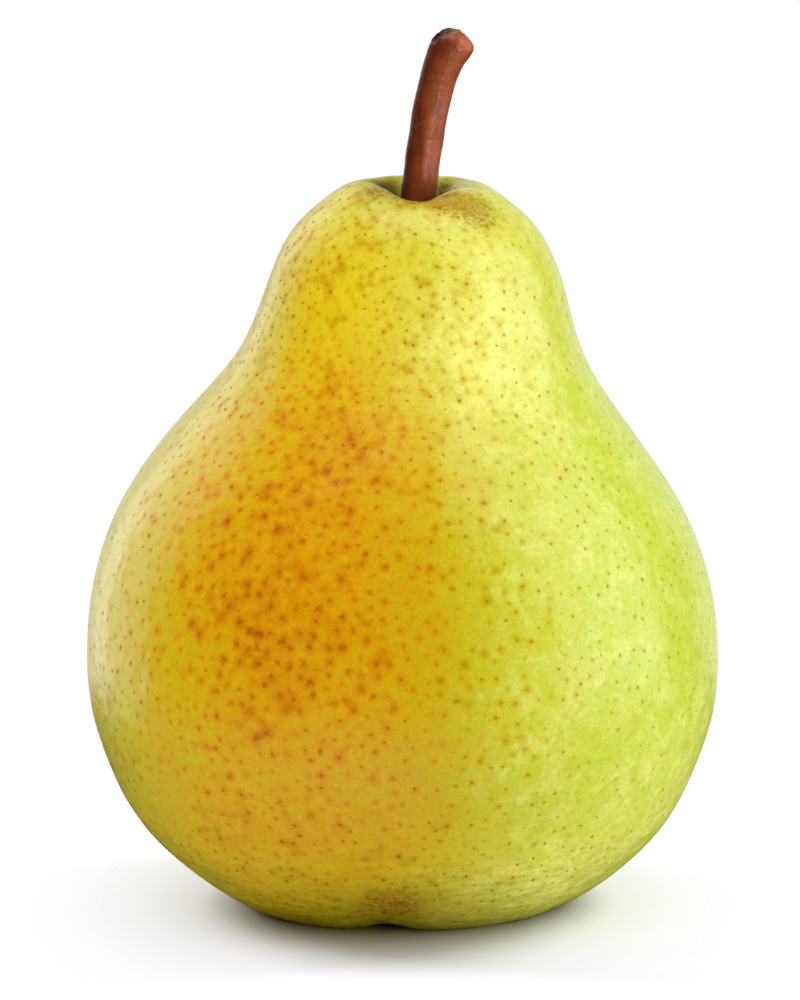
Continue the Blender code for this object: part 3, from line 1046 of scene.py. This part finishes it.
def make_stamens(aside):
    """The tuft of withered stamens as one piece, rooted in the calyx cup."""
    chance = np.random.default_rng(TUFT_SEED)
    points = []
    faces = []
    for number in range(FILAMENTS):
        grid = filament_grid(number, chance) + aside
        first = len(points)
        points.extend(grid.reshape(-1, 3).tolist())
        points.extend([grid[0].mean(axis=0).tolist(), grid[-1].mean(axis=0).tolist()])
        faces.extend([first + corner for corner in face] for face in grid_faces(*grid.shape[:2]))
    mesh = bpy.data.meshes.new("withered_stamens")
    mesh.from_pydata((np.array(points) * MM).tolist(), [], faces)
    mesh.shade_smooth()
    withered = dried_material("withered_stamens", STAMEN_DARK, STAMEN_LIGHT)
    return add_piece("withered_stamens", mesh, withered, "calyx", "stamen_tuft")


# ---------------------------------------------------------------- studio

CAMERA_TARGET = Vector((-0.0003, 0.0, 0.045))
CAMERA_DISTANCE = 0.9
CAMERA_ELEVATION = math.radians(10.0)
SENSOR = 36.0
FIELD = 0.1113
WORLD_GLOW = 0.12
UNDER_LIGHT_SPREAD = math.radians(22.0)
FLOOR_HALF_SIZE = 0.6
FLOOR_WHITE = (0.60, 0.61, 0.65, 1.0)
# How bright the floor is in the gloss of the skin, near the pear and far from it.
FLOOR_IN_GLOSS = (0.03, 0.3)
GLOSS_RADII = (0.09, 0.18)
# Where the floor fades away, and where it fades from the camera on a stretched scale.
FLOOR_RADII = (0.07, 0.16)
SEEN_RADII = (0.026, 0.062)
SEEN_SCALE = (1.4, 0.7, 1.0)


def make_camera():
    """A long lens in front of the pear, a little above it."""
    data = bpy.data.cameras.new("camera")
    data.sensor_width = SENSOR
    data.lens = SENSOR * CAMERA_DISTANCE / FIELD
    camera = bpy.data.objects.new("camera", data)
    bpy.context.scene.collection.objects.link(camera)
    back = Vector((0.0, -math.cos(CAMERA_ELEVATION), math.sin(CAMERA_ELEVATION)))
    camera.location = CAMERA_TARGET + back * CAMERA_DISTANCE
    camera.rotation_euler = (math.pi / 2 - CAMERA_ELEVATION, 0.0, 0.0)
    bpy.context.scene.camera = camera


def soft_light(name, azimuth, elevation, distance, size, strength, in_gloss=True):
    """A soft rectangle of light that faces the pear; azimuth 0 is the front, 90 the right."""
    data = bpy.data.lights.new(name, "AREA")
    data.shape = "RECTANGLE"
    data.size, data.size_y = size
    # The strength is the brightness of the light's face.
    data.energy = strength * size[0] * size[1] * math.pi
    light = bpy.data.objects.new(name, data)
    bpy.context.scene.collection.objects.link(light)
    turn, up = math.radians(azimuth), math.radians(elevation)
    away = Vector((math.sin(turn) * math.cos(up), -math.cos(turn) * math.cos(up), math.sin(up)))
    light.location = CAMERA_TARGET + away * distance
    light.rotation_euler = away.to_track_quat("Z", "Y").to_euler()
    light.visible_camera = False
    # A fill light stays out of the gloss.
    light.visible_glossy = in_gloss
    data.cycles.use_multiple_importance_sampling = in_gloss
    return light


def light_only(light, pieces):
    """Keep a light to the given pieces."""
    lit = bpy.data.collections.new(f"lit_by_{light.name}")
    for piece in pieces:
        lit.objects.link(piece)
    light.light_linking.receiver_collection = lit


def make_lights(floor, pieces, stem):
    """Softboxes round the pear and its floor, and lights that reach only one of them."""
    soft_light("right_softbox", 86.0, 15.0, 1.0, (0.95, 1.2), 2.35)
    left_softbox = soft_light("left_softbox", -128.0, 14.0, 1.0, (0.8, 1.2), 1.25)
    soft_light("back_softbox", 180.0, 12.0, 1.2, (2.4, 1.2), 0.8)
    on_the_pear = [
        soft_light("upper_right_softbox", 58.0, 56.0, 1.0, (0.45, 0.4), 1.7),
        soft_light("top_softbox", 180.0, 85.0, 1.0, (0.9, 0.6), 2.4),
        soft_light("front_fill", -28.0, 44.0, 1.2, (1.6, 1.2), 2.1, in_gloss=False),
        soft_light("low_fill_right", 62.0, 3.0, 1.0, (1.2, 0.14), 10.0, in_gloss=False),
        soft_light("low_fill_left", -75.0, 8.0, 1.0, (1.0, 0.4), 1.25, in_gloss=False),
        soft_light("low_fill_front", -12.0, 3.0, 1.0, (1.2, 0.14), 2.8, in_gloss=False),
    ]
    on_the_floor = [
        soft_light("floor_glow", 0.0, 88.0, 1.0, (2.5, 2.5), 0.8, in_gloss=False),
        soft_light("floor_light_right", 118.0, 35.0, 1.0, (0.5, 0.5), 16.5, in_gloss=False),
        soft_light("floor_light_left", -118.0, 35.0, 1.0, (0.5, 0.5), 16.8, in_gloss=False),
    ]
    light_only(left_softbox, [floor, *(piece for piece in pieces if piece is not stem)])
    light_only(soft_light("stem_softbox", 36.0, -5.0, 0.3, (0.10, 0.07), 13.0), [stem])
    # A small light under the floor, which doesn't block it, shows the calyx from below.
    under_light = soft_light("under_light", 0.0, -90.0, 0.075, (0.01, 0.01), 0.8, in_gloss=False)
    under_light.data.spread = UNDER_LIGHT_SPREAD
    light_only(under_light, pieces)
    under_light.light_linking.blocker_collection = under_light.light_linking.receiver_collection
    for light in on_the_pear:
        light_only(light, pieces)
    for light in on_the_floor:
        light_only(light, [floor])


def make_world():
    """White to the camera, and only a faint even glow on the pear, which the softboxes light."""
    world = bpy.data.worlds.new("studio")
    bpy.context.scene.world = world
    world.use_nodes = True
    tree = world.node_tree
    background = tree.nodes["Background"]
    background.inputs["Color"].default_value = (1.0, 1.0, 1.0, 1.0)
    seen = tree.nodes.new("ShaderNodeMapRange")
    seen.inputs["To Min"].default_value = WORLD_GLOW
    tree.links.new(tree.nodes.new("ShaderNodeLightPath").outputs["Is Camera Ray"], seen.inputs["Value"])
    tree.links.new(seen.outputs[0], background.inputs["Strength"])
    world.cycles_visibility.glossy = False


def make_floor():
    """A white floor that melts into the white background, and can't be seen from below."""
    mesh = bpy.data.meshes.new("floor")
    signs = [(-1, -1), (1, -1), (1, 1), (-1, 1)]
    corners = [(FLOOR_HALF_SIZE * x, FLOOR_HALF_SIZE * y, 0.0) for x, y in signs]
    mesh.from_pydata(corners, [], [(0, 1, 2, 3)])
    floor = bpy.data.objects.new("floor", mesh)
    bpy.context.scene.collection.objects.link(floor)
    n = Nodes("floor")
    place = n.add("ShaderNodeTexCoord", "Object")
    away = n.vectors("LENGTH", place, output="Value")
    mirrored = n.between(away, *GLOSS_RADII, *FLOOR_IN_GLOSS)
    in_gloss = n.add("ShaderNodeLightPath", "Is Glossy Ray")
    white = n.mix(in_gloss, FLOOR_WHITE, mirrored)
    n.set(Base_Color=white, Roughness=0.9, Specular_IOR_Level=0.0)
    from_above = n.maths("SUBTRACT", 1.0, n.add("ShaderNodeNewGeometry", "Backfacing"))
    # To the camera it melts away sooner than it does to the light that it throws back.
    solid = n.product(n.between(away, *FLOOR_RADII, 1.0, 0.0), from_above)
    stretched = n.vectors("LENGTH", n.vectors("MULTIPLY", place, SEEN_SCALE), output="Value")
    melted = n.product(n.add("ShaderNodeLightPath", "Is Camera Ray"), n.between(stretched, *SEEN_RADII))
    n.set(Alpha=n.product(solid, n.maths("SUBTRACT", 1.0, melted)))
    mesh.materials.append(n.material)
    floor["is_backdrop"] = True
    return floor


def write_sizes():
    boxes = {"cad": CAD_BOX, "visual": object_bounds()}
    sizes = {name: [list(corner) for corner in box] for name, box in boxes.items()}


make_camera()
make_world()
floor = make_floor()
skin, aside = make_skin()
stem = make_stem(aside)
pieces = [skin, stem, *make_sepals(aside), make_stamens(aside)]
make_lights(floor, pieces, stem)
bpy.context.scene.view_settings.view_transform = "Standard"
bpy.context.view_layer.update()
write_sizes()
